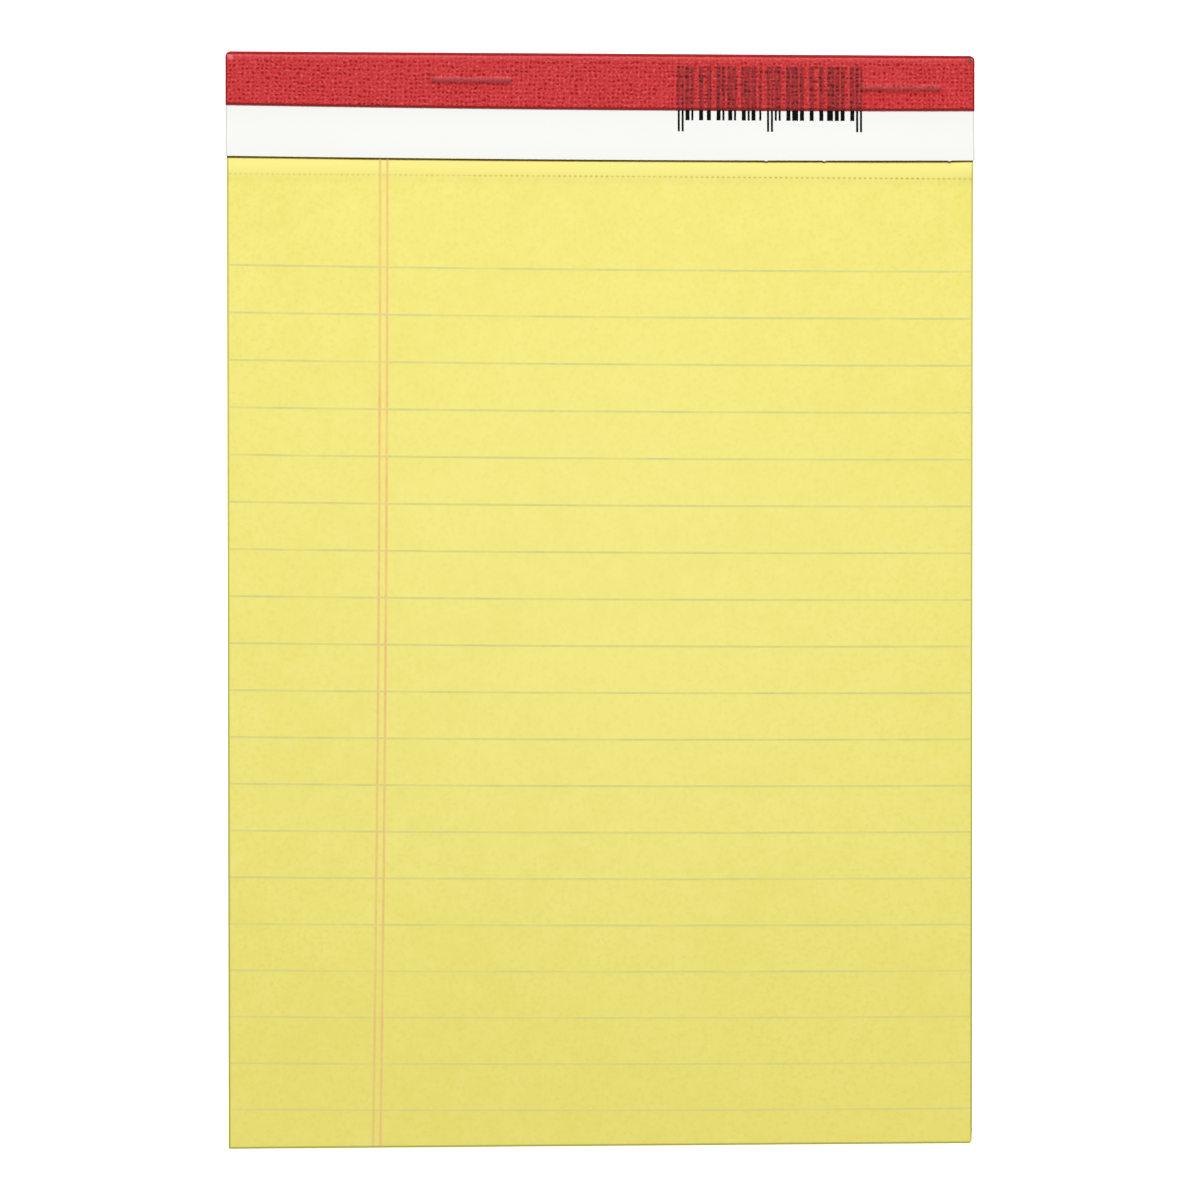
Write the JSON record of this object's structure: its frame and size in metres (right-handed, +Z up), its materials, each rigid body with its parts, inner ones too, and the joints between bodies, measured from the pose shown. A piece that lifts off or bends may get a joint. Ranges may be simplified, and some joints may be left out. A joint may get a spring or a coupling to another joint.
{
  "type": "legal pad",
  "caption": "Small yellow ruled writing pad with perforated sheets, white header strip, red taped head, hidden wire stitches and chipboard back.",
  "frame": {"origin": "on the desk, under the middle of the pad's outline, with the pad lying on its back", "axes": "+Y towards the bound head, +X to the reader's right, +Z up out of the ruled face"},
  "size_m": [0.127, 0.1856, 0.0063],
  "materials": {
    "chipboard": "matte",
    "yellow_paper": "matte",
    "white_card": "matte",
    "red_tape": "satin",
    "wire": "satin"
  },
  "bodies": {
    "root": {"backing_board": "chipboard", "ruled_sheets": "yellow_paper", "header_strip": "white_card", "binding_tape": "red_tape", "stitch_left": "wire", "stitch_right": "wire"}
  },
  "joints": []
}
